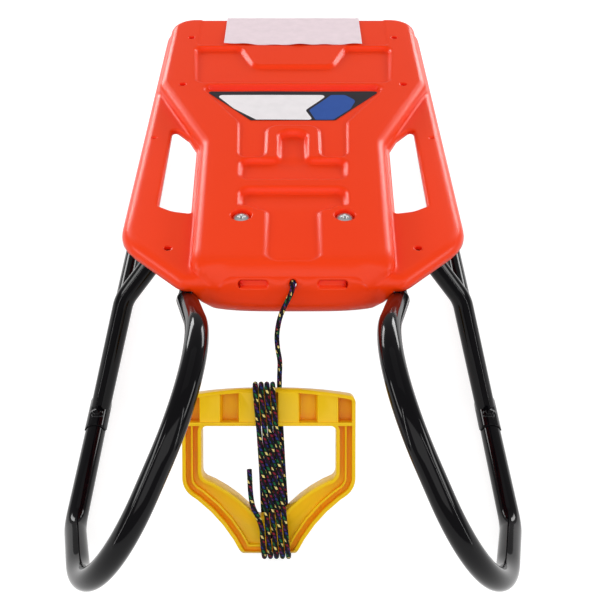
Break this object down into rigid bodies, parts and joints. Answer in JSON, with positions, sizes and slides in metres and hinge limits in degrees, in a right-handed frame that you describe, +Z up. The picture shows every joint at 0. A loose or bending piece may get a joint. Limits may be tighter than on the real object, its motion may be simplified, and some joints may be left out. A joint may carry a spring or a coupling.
{
  "type": "snow_sled",
  "caption": "Children's snow sled with an orange moulded seat on black bent-tube runners and bows, and a yellow pull handle with a rope wound round it.",
  "frame": {"origin": "middle of the sled's bounding box in X and Y, on the ground plane under the skids", "axes": "+X across the sled, to the right in the picture; +Y rearwards along the skids; +Z up"},
  "size_m": [0.4292, 0.7984, 0.227],
  "materials": {
    "orange_plastic": "semi-gloss moulded polypropylene",
    "black_paint": "high-gloss black coating on steel",
    "black_plastic": "plain polyethylene end caps",
    "zinc_steel": "bright zinc-plated fasteners",
    "rope_braid": "black braid with coloured flecks",
    "yellow_plastic": "semi-gloss moulded polypropylene",
    "dark_film": "plain printed film",
    "paper": "plain paper"
  },
  "bodies": {
    "sled": {"seat_shell": "orange_plastic", "left_runner": "black_paint", "right_runner": "black_paint", "left_runner_cap": "black_plastic", "right_runner_cap": "black_plastic", "front_bow": "black_paint", "rear_bow": "black_paint", "front_bow_rivets": "black_paint", "rear_bow_rivets": "black_paint", "seat_screws": "zinc_steel", "seat_washers": "zinc_steel", "seat_nuts": "zinc_steel", "rear_seat_screws": "zinc_steel", "wing_bolts": "black_paint", "wing_nuts": "zinc_steel", "rope_knot": "rope_braid", "label_sticker": "dark_film", "paper_band": "paper"},
    "pull_handle": {"pull_handle": "yellow_plastic", "tow_rope": "rope_braid"}
  },
  "joints": [
    {"name": "rope_lead", "type": "hinge", "parent": "sled", "child": "pull_handle", "pos_m": [0, -0.16475, 0.198], "axis": [-1, 0, 0], "range_deg": [0, 30]}
  ]
}
